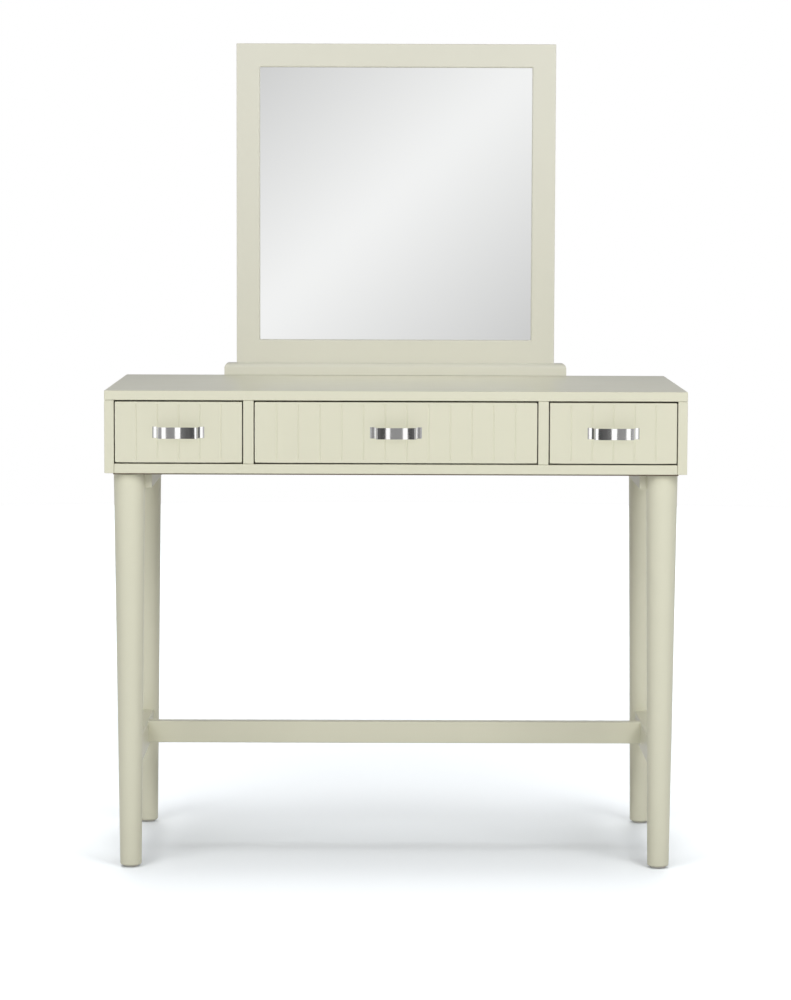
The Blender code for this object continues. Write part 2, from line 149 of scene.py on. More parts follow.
SOFTBOX_PLACE = (1.45, -1.9, 2.0)   # of the right-hand one; y is from the case's face
SOFTBOX_AIM = 1.0           # height that they point at
SOFTBOX_SIZE = 1.2
SOFTBOX_ENERGY = 23.2
SOFTBOX_LEAN = 0.15         # the right-hand one is this share stronger, the other weaker
BOUNCE_ENERGY = 0.50        # light that the mirror throws on the table top
BOUNCE_GAP = 0.012          # between the glass and that light
OVERHEAD_ENERGY = 0.66      # of each of the lights that shade the floor
OVERHEAD_ANGLE = 22.0       # degrees, as the tilts
OVERHEAD_TILTS = (-24.0, -10.0, 4.0, 18.0)

CARD_DISTANCE = 1.70        # of the cards that the handles reflect, from the case's face
CARD_HEIGHTS = (0.46, 0.68)
CARD_WHITE = 1.45
CARD_GREY = 0.34
CARD_BANDS = (              # from x, to x, glow
    (-1.30, -0.80, 1.00), (-0.80, -0.715, CARD_GREY), (-0.715, -0.635, CARD_WHITE),
    (-0.635, -0.485, CARD_GREY), (-0.485, -0.405, CARD_WHITE), (-0.405, -0.33, 0.18),
    (-0.33, -0.25, 0.13), (-0.25, -0.155, 0.09), (-0.155, -0.09, CARD_WHITE),
    (-0.09, 0.115, CARD_GREY), (0.115, 0.19, CARD_WHITE), (0.19, 0.275, 0.09),
    (0.275, 0.345, 0.13), (0.345, 0.415, 0.18), (0.415, 0.495, CARD_WHITE),
    (0.495, 0.65, CARD_GREY), (0.65, 0.735, CARD_WHITE), (0.735, 0.80, CARD_GREY),
    (0.80, 1.30, 1.00),
)

# ---------------------------------------------------------------- camera
CAMERA_SENSOR = 36.0        # millimetres, as the lens
CAMERA_LENS = 120.7
CAMERA_PLACE = (-0.0161, -5.239, 1.0783)    # y is from the case's face
CAMERA_YAW = -0.0030        # radians, as the other two
CAMERA_PITCH = -0.0927
CAMERA_ROLL = 0.0033


# ---------------------------------------------------------------- material tools
class Finish:
    """A Principled material, with short calls for the nodes that feed its shader."""

    def __init__(self, name):
        self.material = bpy.data.materials.new(name)
        self.material.use_nodes = True
        self.tree = self.material.node_tree
        self.shader = self.tree.nodes["Principled BSDF"]
        self.coordinates = self.tree.nodes.new("ShaderNodeTexCoord").outputs["Object"]

    def set(self, **values):
        """Set the shader's own sockets; underscores stand for spaces."""
        for name, value in values.items():
            self.shader.inputs[name.replace("_", " ")].default_value = value

    def link(self, output, socket):
        """Feed one of the shader's sockets."""
        self.tree.links.new(output, self.shader.inputs[socket])

    def node(self, kind, inputs=None, **settings):
        """Add a node; inputs may be values or other nodes' outputs."""
        made = self.tree.nodes.new(kind)
        for name, value in settings.items():
            setattr(made, name, value)
        for name, value in (inputs or {}).items():
            if isinstance(value, bpy.types.NodeSocket):
                self.tree.links.new(value, made.inputs[name])
            else:
                made.inputs[name].default_value = value
        return made

    def stretched(self, stretch):
        """Object coordinates scaled along each axis."""
        inputs = {"Vector": self.coordinates, "Scale": stretch}
        return self.node("ShaderNodeMapping", inputs).outputs["Vector"]

    def noise(self, scale, detail=2.0, stretch=None, rough=0.5):
        """Noise value between 0 and 1."""
        vector = self.stretched(stretch) if stretch else self.coordinates
        inputs = {"Vector": vector, "Scale": scale, "Detail": detail, "Roughness": rough}
        return self.node("ShaderNodeTexNoise", inputs).outputs["Fac"]

    def spread(self, value, low, high):
        """Map a 0-1 value onto low-high."""
        inputs = {"Value": value, "To Min": low, "To Max": high}
        return self.node("ShaderNodeMapRange", inputs).outputs["Result"]

    def blend(self, factor, first, second):
        """Mix two colours."""
        inputs = {"Fac": factor, "Color1": first, "Color2": second}
        return self.node("ShaderNodeMixRGB", inputs).outputs["Color"]

    def ramp(self, value, stops):
        """Colour ramp through (position, colour) stops."""
        made = self.node("ShaderNodeValToRGB", {"Fac": value})
        elements = made.color_ramp.elements
        while len(elements) < len(stops):
            elements.new(0.5)
        for element, (position, color) in zip(elements, stops):
            element.position = position
            element.color = color
        return made.outputs["Color"]

    def bump(self, height, strength, distance, below=None):
        """Bump node; below is the normal that it adds to."""
        inputs = {"Height": height, "Strength": strength, "Distance": distance}
        if below is not None:
            inputs["Normal"] = below
        return self.node("ShaderNodeBump", inputs).outputs["Normal"]


def rgb(red, green, blue):
    """Opaque colour."""
    return (red, green, blue, 1.0)


def along(grain, squeeze):
    """Stretch that draws noise out along the grain's axis."""
    return tuple(squeeze if axis == grain else 1.0 for axis in "xyz")


def make_paint(name, grain, blue=0.555):
    """Sprayed semi-gloss cream paint, with faint wood grain showing along one axis."""
    finish = Finish(name)
    drift = finish.noise(4.0, 3.0)
    color = finish.blend(drift, rgb(0.700, 0.690, blue - 0.012), rgb(0.725, 0.715, blue + 0.014))
    finish.link(color, "Base Color")
    finish.link(finish.spread(finish.noise(22.0, 3.0), 0.27, 0.35), "Roughness")
    finish.set(Specular_IOR_Level=0.5, Coat_Weight=0.15, Coat_Roughness=0.20)
    spray = finish.bump(finish.noise(240.0, 1.0), 0.04, 0.0005)
    fibres = finish.noise(120.0, 2.0, along(grain, 0.06))
    finish.link(finish.bump(fibres, 0.04, 0.0006, spray), "Normal")
    return finish.material


def make_wood(name, grain):
    """Clear-lacquered pale hardwood, its grain along one axis."""
    finish = Finish(name)
    broad = finish.noise(26.0, 4.0, along(grain, 0.05), 0.6)
    fine = finish.noise(330.0, 3.0, along(grain, 0.035), 0.7)
    color = finish.ramp(broad, [
        (0.30, rgb(0.50, 0.345, 0.20)),
        (0.50, rgb(0.60, 0.445, 0.275)),
        (0.72, rgb(0.68, 0.53, 0.35)),
    ])
    pores = finish.ramp(fine, [(0.34, rgb(0.72, 0.66, 0.58)), (0.52, rgb(1.0, 1.0, 1.0))])
    mixed = finish.node("ShaderNodeMixRGB", {"Fac": 0.8, "Color1": color, "Color2": pores},
                        blend_type="MULTIPLY")
    finish.link(mixed.outputs["Color"], "Base Color")
    finish.link(finish.spread(fine, 0.48, 0.38), "Roughness")
    finish.link(finish.bump(fine, 0.25, 0.0003), "Normal")
    finish.set(Coat_Weight=0.15, Coat_Roughness=0.25)
    return finish.material


def make_hardboard():
    """Bare brown hardboard, its browns darkened towards painted shade: pressed fibres, dull and
    mottled.
    """
    finish = Finish("hardboard")
    fibres = finish.noise(900.0, 4.0, (1.0, 1.0, 0.5), 0.75)
    clumps = finish.noise(60.0, 3.0)
    # painted shade: both browns are darkened and greyed so that the underside sheet's edge, a thin
    # line under the case's front rail, takes the tone of the shade there
    dark = finish.blend(clumps, rgb(0.120, 0.084, 0.057), rgb(0.158, 0.114, 0.078))
    light = finish.blend(clumps, rgb(0.215, 0.160, 0.112), rgb(0.262, 0.202, 0.145))
    finish.link(finish.blend(fibres, dark, light), "Base Color")
    finish.link(finish.spread(fibres, 0.80, 0.62), "Roughness")
    finish.link(finish.bump(fibres, 0.35, 0.0004), "Normal")
    return finish.material


def make_chrome():
    """Polished chrome plate with faint polishing haze."""
    finish = Finish("chrome")
    haze = finish.noise(260.0, 3.0, (1.0, 1.0, 0.2))
    finish.set(Metallic=1.0)
    finish.link(finish.blend(haze, rgb(0.74, 0.745, 0.755), rgb(0.79, 0.79, 0.80)), "Base Color")
    finish.link(finish.spread(haze, 0.035, 0.075), "Roughness")
    finish.link(finish.bump(finish.noise(90.0, 2.0), 0.02, 0.0003), "Normal")
    return finish.material


def make_mirror():
    """Silvered glass: a clean reflection with a trace of haze from wiping."""
    finish = Finish("mirror_glass")
    wiping = finish.noise(7.0, 4.0, (1.0, 1.0, 0.4))
    finish.set(Metallic=1.0, Coat_Weight=0.5, Coat_Roughness=0.0)
    silver = finish.blend(wiping, rgb(0.925, 0.935, 0.930), rgb(0.935, 0.940, 0.938))
    finish.link(silver, "Base Color")
    finish.link(finish.spread(wiping, 0.000, 0.012), "Roughness")
    return finish.material


def make_zinc():
    """Zinc-plated pressed steel, brushed along the rolling direction."""
    finish = Finish("zinc_steel")
    streaks = finish.noise(700.0, 3.0, along("y", 0.02), 0.7)
    spangle = finish.noise(130.0, 2.0)
    bright = finish.blend(spangle, rgb(0.56, 0.57, 0.585), rgb(0.66, 0.665, 0.67))
    finish.set(Metallic=1.0)
    finish.link(bright, "Base Color")
    finish.link(finish.spread(streaks, 0.26, 0.44), "Roughness")
    finish.link(finish.bump(streaks, 0.12, 0.0002), "Normal")
    return finish.material


def make_nylon():
    """Moulded off-white nylon."""
    finish = Finish("nylon")
    cloud = finish.noise(120.0, 2.0)
    finish.link(finish.blend(cloud, rgb(0.70, 0.69, 0.65), rgb(0.76, 0.75, 0.71)), "Base Color")
    finish.link(finish.spread(finish.noise(800.0, 2.0), 0.42, 0.58), "Roughness")
    finish.link(finish.bump(finish.noise(1500.0, 2.0), 0.15, 0.0002), "Normal")
    finish.set(Subsurface_Weight=0.05, Subsurface_Scale=0.003)
    return finish.material


PAINT_X = make_paint("cream_paint_grain_x", "x")
PAINT_Y = make_paint("cream_paint_grain_y", "y")
PAINT_Z = make_paint("cream_paint_grain_z", "z")
FRAME_PAINT_X = make_paint("cream_paint_frame_x", "x", 0.60)
FRAME_PAINT_Z = make_paint("cream_paint_frame_z", "z", 0.60)
WOOD_X = make_wood("drawer_wood_grain_x", "x")
WOOD_Y = make_wood("drawer_wood_grain_y", "y")
HARDBOARD = make_hardboard()
CHROME = make_chrome()
MIRROR = make_mirror()
ZINC = make_zinc()
NYLON = make_nylon()


# ---------------------------------------------------------------- mesh tools
def link_object(name, data):
    """Put a mesh, light or camera in the scene."""
    made = bpy.data.objects.new(name, data)
    bpy.context.scene.collection.objects.link(made)
    return made


def mesh_from(name, shape):
    """Turn a bmesh into a mesh whose faces point out."""
    bmesh.ops.recalc_face_normals(shape, faces=shape.faces)
    mesh = bpy.data.meshes.new(name)
    shape.to_mesh(mesh)
    shape.free()
    return mesh


def finish_piece(name, mesh, material, body, nodes=(), sharp=radians(50)):
    """Shade, paint and fasten a mesh to its body, in place of CAD nodes."""
    mesh.materials.clear()
    mesh.materials.append(material)
    mesh.shade_smooth()
    mesh.set_sharp_from_angle(angle=sharp)
    piece = link_object(name, mesh)
    weighted = piece.modifiers.new("weighted_normals", "WEIGHTED_NORMAL")
    weighted.keep_sharp = True
    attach(piece, body)
    if nodes:
        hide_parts(*nodes)
    return piece


def block(low, high):
    """Plain box as a bmesh."""
    low, high = Vector(low), Vector(high)
    shape = bmesh.new()
    bmesh.ops.create_cube(shape, size=1.0)
    size = high - low
    middle = (high + low) / 2
    for vert in shape.verts:
        vert.co = Vector(v * s for v, s in zip(vert.co, size)) + middle
    return shape


def round_edges(shape, radius, segments=3, chosen=None):
    """Round all edges of a bmesh, or those that chosen(a, b) picks by their ends."""
    edges = [e for e in shape.edges if chosen is None or chosen(e.verts[0].co, e.verts[1].co)]
    bmesh.ops.bevel(shape, geom=edges, offset=radius, segments=segments, profile=0.5,
                    affect="EDGES", clamp_overlap=True)
    return shape


def rounded_block(name, low, high, material, body, nodes=(), radius=ARRIS):
    """Board with rounded arrises."""
    shape = round_edges(block(low, high), radius)
    return finish_piece(name, mesh_from(name, shape), material, body, nodes)


def board(node, material, body="table", radius=ARRIS, stretch=((0, 0, 0), (0, 0, 0))):
    """Fine board in place of a CAD node; stretch moves its lowest and highest corners."""
    low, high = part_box(node)
    low, high = low + Vector(stretch[0]), high + Vector(stretch[1])
    return rounded_block(node + "_fine", low, high, material, body, (node,), radius)


def prism(outline, low, high, place):
    """Extrude an outline; place(u, v, w) says where its points go."""
    shape = bmesh.new()
    start = [shape.verts.new(place(u, v, low)) for u, v in outline]
    end = [shape.verts.new(place(u, v, high)) for u, v in outline]
    shape.faces.new(start)
    shape.faces.new(end)
    for i in range(len(outline)):
        j = (i + 1) % len(outline)
        shape.faces.new((start[i], start[j], end[j], end[i]))
    return shape


def skin(shape, rings):
    """Join rings of points, each as long as the next, into a closed skin."""
    shape.faces.new(rings[0])
    shape.faces.new(rings[-1])
    for lower, upper in zip(rings, rings[1:]):
        for i in range(len(lower)):
            j = (i + 1) % len(lower)
            shape.faces.new((lower[i], lower[j], upper[j], upper[i]))


def upright(u, v, w):
    """An outline drawn on the floor plan, extruded up."""
    return (u, v, w)


def lengthwise(u, v, w):
    """An outline drawn in side view, extruded across."""
    return (w, u, v)


def turned(profile, center, segments):
    """Turn a (radius, height) profile about a vertical axis through center."""
    shape = bmesh.new()
    rings = []
    for radius, z in profile:
        ring = []
        for i in range(segments):
            angle = 2 * pi * i / segments
            offset = Vector((radius * cos(angle), radius * sin(angle), z))
            ring.append(shape.verts.new(Vector(center) + offset))
        rings.append(ring)
    skin(shape, rings)
    return shape


def carve(mesh, cutters):
    """Subtract cutter meshes with the exact solver and return the new mesh."""
    body = link_object("carving", mesh)
    guides = []
    for cutter in cutters:
        guide = link_object("cutter", cutter)
        guides.append(guide)
        modifier = body.modifiers.new("cut", "BOOLEAN")
        modifier.operation = "DIFFERENCE"
        modifier.solver = "EXACT"
        modifier.object = guide
    depsgraph = bpy.context.evaluated_depsgraph_get()
    carved = bpy.data.meshes.new_from_object(body.evaluated_get(depsgraph))
    for piece in [body] + guides:
        bpy.data.objects.remove(piece, do_unlink=True)
    return carved


# ---------------------------------------------------------------- case
def make_case():
    """Top, sides, bottom, back and dividers with rounded arrises; hardboard underside."""
    board("top_panel", PAINT_X)
    for side, _ in SIDES:
        board(f"side_panel_{side}", PAINT_Y)
        board(f"divider_{side}", PAINT_Y)
    board("bottom_panel", PAINT_X)
    board("back_panel", PAINT_X)
    # its front edge shows as the dark line below the front rail: partly the sheet's own brown,
    # partly painted shade
    board("underside_panel", HARDBOARD, radius=HARDBOARD_ARRIS)


# ---------------------------------------------------------------- drawers
def groove_points(middle, share):
    """V-groove with rounded shoulders in plan, from left to right, share of its full depth."""
    half = GROOVE_WIDTH / 2
    shoulder = GROOVE_SHOULDER
    slope = GROOVE_DEPTH / half
    left = [
        (middle - half - shoulder, 0.0),
        (middle - half - shoulder * 0.1, shoulder * 0.22),
        (middle - half + shoulder * 0.6, shoulder * 0.6 * slope),
    ]
    right = [(2 * middle - x, y) for x, y in reversed(left)]
    points = left + [(middle, GROOVE_DEPTH)] + right
    return [(x, FRONT_Y + y * share) for x, y in points]


def on_box_edges(low, high):
    """Test for edges that lie on two faces of a box at once."""
    def test(a, b):
        faces = 0
        for u, v, near, far in zip(a, b, low, high):
            if abs(u - v) < NEAR and min(abs(u - near), abs(u - far)) < NEAR:
                faces += 1
        return faces > 1

    return test


def make_drawer_front(name):
    """Planked drawer front: V-grooves run out just inside its rounded perimeter."""
    low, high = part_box(f"drawer_{name}_front")
    planks = PLANKS[name]
    width = (high.x - low.x) / planks
    plain, full = GROOVE_STOP, GROOVE_STOP + GROOVE_DEPTH
    levels = [(low.z, 0), (low.z + plain, 0), (low.z + full, 1),
              (high.z - full, 1), (high.z - plain, 0), (high.z, 0)]
    shape = bmesh.new()
    rings = []
    for z, share in levels:
        outline = [(low.x, high.y), (low.x, low.y)]
        for i in range(1, planks):
            outline += groove_points(low.x + i * width, share)
        outline += [(high.x, low.y), (high.x, high.y)]
        rings.append([shape.verts.new((x, y, z)) for x, y in outline])
    skin(shape, rings)
    round_edges(shape, FRONT_ROUNDING, chosen=on_box_edges(low, high))
    mesh = mesh_from(f"drawer_{name}_front_fine", shape)
    finish_piece(f"drawer_{name}_front_fine", mesh, PAINT_Z, f"drawer_{name}",
                 (f"drawer_{name}_front",), sharp=radians(32))


def rounded_corner(before, corner, after, radius, steps):
    """(point, normal) pairs round a filleted corner; normals lie left of the path."""
    arrive = (corner - before).normalized()
    leave = (after - corner).normalized()
    turn = arrive.angle_signed(leave)
    setback = radius * tan(abs(turn) / 2)
    side = 1 if turn < 0 else -1
    start_normal = Vector((-arrive.y, arrive.x))
    center = corner - arrive * setback + start_normal * radius * side
    found = []
    for i in range(steps + 1):
        normal = start_normal.copy()
        normal.rotate(Matrix.Rotation(-turn * i / steps, 2))
        found.append((center - normal * radius * side, normal))
    return found


def handle_outline(center_x, half_length, reach):
    """Plan of the strap handle: pads, risers and a slightly bowed bridge."""
    half = HANDLE_STRAP / 2
    crown = reach - half
    pad_edge = half_length - HANDLE_FOOT
    bridge_edge = pad_edge - HANDLE_RISE

    def bridge(x):
        return Vector((x, crown - x * x / (2 * HANDLE_BOW_RADIUS)))

    end = Vector((half_length, half + HANDLE_PAD_TILT))
    foot = Vector((pad_edge, half))
    shoulder = bridge(bridge_edge)
    line = rounded_corner(end, foot, shoulder, HANDLE_BEND, BEND_STEPS)
    line += rounded_corner(foot, shoulder, bridge(bridge_edge / 2), HANDLE_BEND, BEND_STEPS)
    for i in range(BOW_STEPS - 2, 0, -1):
        x = bridge_edge * i / BOW_STEPS
        line.append((bridge(x), Vector((-x / HANDLE_BOW_RADIUS, -1.0)).normalized()))
    nose = []
    for i in range(NOSE_STEPS + 1):
        angle = pi / 2 * (1 - i / NOSE_STEPS)
        x = half_length - HANDLE_NOSE * (1 - sin(angle))
        top = HANDLE_STRAP + HANDLE_PAD_TILT * (x - pad_edge) / HANDLE_FOOT
        nose.append(Vector((x, top - HANDLE_NOSE_DROP * (1 - cos(angle)))))
    outer_right = nose + [point - normal * half for point, normal in line]
    inner_right = [Vector((half_length, 0.0))] + [point + normal * half for point, normal in line]
    outer = outer_right + [Vector((-p.x, p.y)) for p in reversed(outer_right)]
    inner = inner_right + [Vector((-p.x, p.y)) for p in reversed(inner_right)]
    return [(center_x + p.x, FRONT_Y - p.y) for p in outer + inner[::-1]]


def make_handle(name):
    """Polished strap handle with softened long edges, and the two screws that hold it."""
    low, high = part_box(f"handle_{name}")
    middle_x = (low.x + high.x) / 2
    outline = handle_outline(middle_x, (high.x - low.x) / 2, FRONT_Y - low.y)
    shape = prism(outline, low.z, high.z, upright)

    def upright_at_end(a, b):
        at_end = min(abs(a.x - low.x), abs(a.x - high.x)) < NEAR
        return at_end and abs(a.z - b.z) > NEAR

    def level(a, b):
        return abs(a.z - b.z) < NEAR

    round_edges(shape, HANDLE_END_ROUNDING, chosen=upright_at_end)
    round_edges(shape, HANDLE_EDGE_ROUNDING, chosen=level)
    mesh = mesh_from(f"handle_{name}_fine", shape)
    handle = finish_piece(f"handle_{name}_fine", mesh, CHROME, f"drawer_{name}",
                          (f"handle_{name}",), sharp=radians(60))
    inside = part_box(f"drawer_{name}_front")[1].y
    pad_x = (high.x - low.x) / 2 - HANDLE_FOOT / 2
    for side, sign in SIDES:
        make_screw(f"handle_screw_{name}_{side}",
                   (middle_x + sign * pad_x, inside, (low.z + high.z) / 2),
                   (0, 1, 0), HANDLE_SCREW, f"drawer_{name}")
    return handle


def make_screw(name, foot, axis, size, body):
    """Domed screw head with a six-sided socket, standing on foot along axis."""
    radius, height = size
    steps = 5
    profile = [(radius * 0.98, -SCREW_SINK), (radius, height * SCREW_SIDE)]
    for i in range(1, steps):
        angle = pi / 2 * i / steps
        profile.append((radius * (SCREW_FLAT + (1 - SCREW_FLAT) * cos(angle)),
                        height * (SCREW_SIDE + (1 - SCREW_SIDE) * sin(angle))))
    rim = radius * SOCKET_RADIUS
    profile += [(rim, height), (rim * 0.98, height * SOCKET_FLOOR)]
    shape = turned(profile, (0, 0, 0), SCREW_SEGMENTS)
    for vert in shape.verts:
        if vert.co.to_2d().length < rim * 1.001:
            angle = vert.co.to_2d().angle_signed(Vector((1, 0)))
            facet = cos(pi / 6) / cos((angle % (pi / 3)) - pi / 6)
            vert.co.x *= facet
            vert.co.y *= facet
    turn = Vector((0, 0, 1)).rotation_difference(Vector(axis))
    for vert in shape.verts:
        vert.co = turn @ vert.co + Vector(foot)
    finish_piece(name, mesh_from(name, shape), ZINC, body, sharp=radians(40))


def make_drawer_box(name):
    """Two lacquered sides, a back and a bottom, behind the front."""
    body = f"drawer_{name}"
    for side, _ in SIDES:
        board(f"drawer_{name}_side_{side}", WOOD_Y, body, WOOD_ARRIS)
    board(f"drawer_{name}_back", WOOD_X, body, WOOD_ARRIS)
    board(f"drawer_{name}_bottom", WOOD_X, body, SHEET_ARRIS)


def slot_cutter(x, y, z):
    """Round-ended hole along Y, through the web of a slide at x."""
    half_length, radius = SLIDE_SLOT
    steps = 24
    outline = []
    for i in range(steps):
        angle = 2 * pi * (i + 0.5) / steps
        end = half_length if cos(angle) > 0 else -half_length
        outline.append((y + end + radius * cos(angle), z + radius * sin(angle)))
    deep = 2 * SLIDE_METAL
    return mesh_from("slot_cutter", prism(outline, x - deep, x + deep, lengthwise))


def is_fold(a, b):
    """Test for edges that run along a slide."""
    return abs(a.y - b.y) > LONG_EDGE


def make_slide(kind, name, side, body):
    """Folded channel with slots and three screws; its web stands against what it is fixed to."""
    node = f"slide_{kind}_{name}_{side}"
    low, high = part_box(node)
    middle_z = (low.z + high.z) / 2
    opening = 1 if (side == "left") == (kind == "rail") else -1
    web = low.x if opening > 0 else high.x

    def place(x, share):
        return (x, low.y + (high.y - low.y) * share, middle_z)

    shape = bmesh.new()
    shape.from_mesh(NODES[node].data)
    bmesh.ops.remove_doubles(shape, verts=shape.verts, dist=NEAR)
    bmesh.ops.dissolve_limit(shape, angle_limit=radians(2), verts=shape.verts, edges=shape.edges)
    round_edges(shape, SLIDE_FOLD, 2, is_fold)
    slots = [slot_cutter(*place(web, share)) for share in SLIDE_SLOTS]
    mesh = carve(mesh_from(node + "_fine", shape), slots)
    finish_piece(node + "_fine", mesh, ZINC, body, (node,))
    for i, share in enumerate(SLIDE_SCREWS):
        make_screw(f"slide_{kind}_screw_{name}_{side}_{i + 1}",
                   place(web + opening * SLIDE_METAL, share), (opening, 0, 0), SLIDE_SCREW, body)


def make_slides(name):
    """Zinc-plated slides at both sides of a drawer: one member on the case, one on the drawer."""
    for side, _ in SIDES:
        make_slide("rail", name, side, "table")
        make_slide("runner", name, side, f"drawer_{name}")


# ---------------------------------------------------------------- underframe
def make_leg(end, side):
    """Turned leg: even taper, rounded foot, and its glide."""
    node = f"leg_{end}_{side}"
    low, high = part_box(node)
    center = ((low.x + high.x) / 2, (low.y + high.y) / 2, 0.0)
    top_radius = (high.x - low.x) / 2
    steps = 8
    profile = []
    for i in range(steps + 1):
        angle = pi / 2 * i / steps
        profile.append((LEG_FOOT_RADIUS - FOOT_ROUNDING * (1 - sin(angle)),
                        low.z + FOOT_ROUNDING * (1 - cos(angle))))
    foot_z = low.z + FOOT_ROUNDING
    for i in range(1, LEG_RINGS + 1):
        share = i / LEG_RINGS
        profile.append((LEG_FOOT_RADIUS + (top_radius - LEG_FOOT_RADIUS) * share,
                        foot_z + (high.z - foot_z) * share))
    mesh = mesh_from(node + "_fine", turned(profile, center, LEG_SEGMENTS))
    finish_piece(node + "_fine", mesh, PAINT_Z, "table", (node,), sharp=radians(60))

    glide = f"foot_glide_{end}_{side}"
    low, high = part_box(glide)
    radius = (high.x - low.x) / 2
    dome = [(radius * share, low.z + height) for share, height in GLIDE_DOME]
    mesh = mesh_from(glide + "_fine", turned(dome + [(radius, high.z)], center, LEG_SEGMENTS // 2))
    finish_piece(glide + "_fine", mesh, NYLON, "table", (glide,))


def make_underframe():
    """Legs, leg rails with their screws, side stretchers and the cross stretcher."""
    for side, _ in SIDES:
        make_leg("front", side)
        make_leg("rear", side)
        board(f"leg_rail_{side}", PAINT_Y, radius=LEG_RAIL_ARRIS)
        board(f"side_stretcher_{side}", PAINT_Y, radius=STRETCHER_ARRIS,
              stretch=((0, -SIDE_TENON, 0), (0, SIDE_TENON, 0)))
        low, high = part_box(f"leg_rail_{side}")
        middle_x = (low.x + high.x) / 2
        for i, share in enumerate(LEG_RAIL_SCREWS):
            foot = (middle_x, low.y + (high.y - low.y) * share, low.z)
            make_screw(f"leg_rail_screw_{side}_{i + 1}", foot, (0, 0, -1), LEG_RAIL_SCREW, "table")
    board("cross_stretcher", PAINT_X, radius=STRETCHER_ARRIS,
          stretch=((-CROSS_TENON, 0, 0), (CROSS_TENON, 0, 0)))


# ---------------------------------------------------------------- mirror
def sight_rounding_cutter():
    """Tapered block with curved sides: rounds the frame's inner front edge over."""
    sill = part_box("mirror_bottom_rail")[1].z
    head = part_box("mirror_top_rail")[0].z
    half_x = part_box("mirror_stile_right")[0].x
    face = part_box("mirror_top_rail")[0].y
    middle_z, half_z = (sill + head) / 2, (head - sill) / 2
    clear = 0.002
    steps = 8
    sections = [(face - clear, SIGHT_ROUNDING)]
    for i in range(steps + 1):
        angle = pi / 2 * i / steps
        depth = SIGHT_ROUNDING * (1 - cos(angle))
        sections.append((face + depth, SIGHT_ROUNDING * (1 - sin(angle))))
    shape = bmesh.new()
    rings = []
    for y, grow in sections:
        x, z = half_x + grow, half_z + grow
        corners = ((-x, -z), (x, -z), (x, z), (-x, z))
        rings.append([shape.verts.new((u, y, middle_z + v)) for u, v in corners])
    skin(shape, rings)
    return mesh_from("sight_cutter", shape)


def pocket_cutter():
    """Block that opens the glass pocket in the frame's rear face."""
    low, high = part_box("mirror_backing")
    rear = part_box("mirror_stile_left")[1].y
    play = Vector((POCKET_PLAY, 0, POCKET_PLAY))
    low = Vector((low.x, rear - POCKET_DEPTH, low.z)) - play
    high = Vector((high.x, rear + CUTTER_OVERRUN, high.z)) + play
    return mesh_from("pocket_cutter", block(low, high))


def bolt_places():
    """(x, z) of the four bolts that hold the stiles to the case."""
    places = []
    for side, _ in SIDES:
        low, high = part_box(f"mirror_stile_{side}")
        places += [((low.x + high.x) / 2, height) for height in BOLT_HEIGHTS]
    return places


def bore_cutter(x, z, rear):
    """Cylinder along Y for a bolt's counterbore in the rear face."""
    radius, depth = BOLT_BORE
    shape = bmesh.new()
    bmesh.ops.create_cone(shape, cap_ends=True, segments=40, radius1=radius, radius2=radius,
                          depth=2 * CUTTER_OVERRUN)
    bmesh.ops.rotate(shape, verts=shape.verts, matrix=Matrix.Rotation(pi / 2, 3, "X"))
    bmesh.ops.translate(shape, verts=shape.verts, vec=(x, rear - depth + CUTTER_OVERRUN, z))
    return mesh_from("bore_cutter", shape)


def make_frame_member(node, material, chosen):
    """Stile or rail: chosen edges rounded, then the pocket and sight edge cut."""
    low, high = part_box(node)
    if "rail" in node:
        low.x, high.x = low.x - JOINT, high.x + JOINT
    shape = round_edges(block(low, high), FRAME_ARRIS, 4, chosen)
    cutters = [pocket_cutter(), sight_rounding_cutter()]
    for x, z in bolt_places():
        if low.x < x < high.x and low.z < z < high.z:
            cutters.append(bore_cutter(x, z, high.y))
    mesh = carve(mesh_from(node + "_fine", shape), cutters)
    finish_piece(node + "_fine", mesh, material, "table", (node,), sharp=radians(40))


def make_mirror_frame():
    """Two stiles and two rails, butted without a visible joint."""
    for side, sign in SIDES:
        low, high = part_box(f"mirror_stile_{side}")
        inner = high.x if sign < 0 else low.x

        def outside_or_foot(a, b, inner=inner, foot=low.z):
            on_inner = abs(a.x - inner) < NEAR and abs(b.x - inner) < NEAR
            return not on_inner or max(a.z, b.z) < foot + NEAR

        make_frame_member(f"mirror_stile_{side}", FRAME_PAINT_Z, outside_or_foot)

    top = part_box("mirror_top_rail")[1].z

    def along_top(a, b):
        return min(a.z, b.z) > top - NEAR and abs(a.x - b.x) > LONG_EDGE

    make_frame_member("mirror_top_rail", FRAME_PAINT_X, along_top)
    make_frame_member("mirror_bottom_rail", FRAME_PAINT_X, along_top)


def make_glass():
    """Mirror glass and its hardboard backing."""
    board("mirror_glass", MIRROR, radius=SHEET_ARRIS)
    board("mirror_backing", HARDBOARD, radius=HARDBOARD_ARRIS)


def make_backing_points():
    """Flat steel points round the edge of the backing, which hold it in its pocket."""
    low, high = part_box("mirror_backing")
    back = high.y + POINT_GAP
    length, width, thickness = POINT_SIZE
    for i in range(POINTS_PER_SIDE):
        share = (i + 0.5) / POINTS_PER_SIDE
        x = low.x + (high.x - low.x) * share
        z = low.z + (high.z - low.z) * share
        spots = (               # side, place on the edge, size along X and Z, the way inwards
            ("top", x, high.z, width, length, 0, -1),
            ("bottom", x, low.z, width, length, 0, 1),
            ("left", low.x, z, length, width, 1, 0),
            ("right", high.x, z, length, width, -1, 0),
        )
        for side, edge_x, edge_z, size_x, size_z, to_x, to_z in spots:
            middle_x, middle_z = edge_x + to_x * size_x / 2, edge_z + to_z * size_z / 2
            rounded_block(f"backing_point_{side}_{i + 1}",
                          (middle_x - size_x / 2, back, middle_z - size_z / 2),
                          (middle_x + size_x / 2, back + thickness, middle_z + size_z / 2),
                          ZINC, "table", radius=POINT_ARRIS)


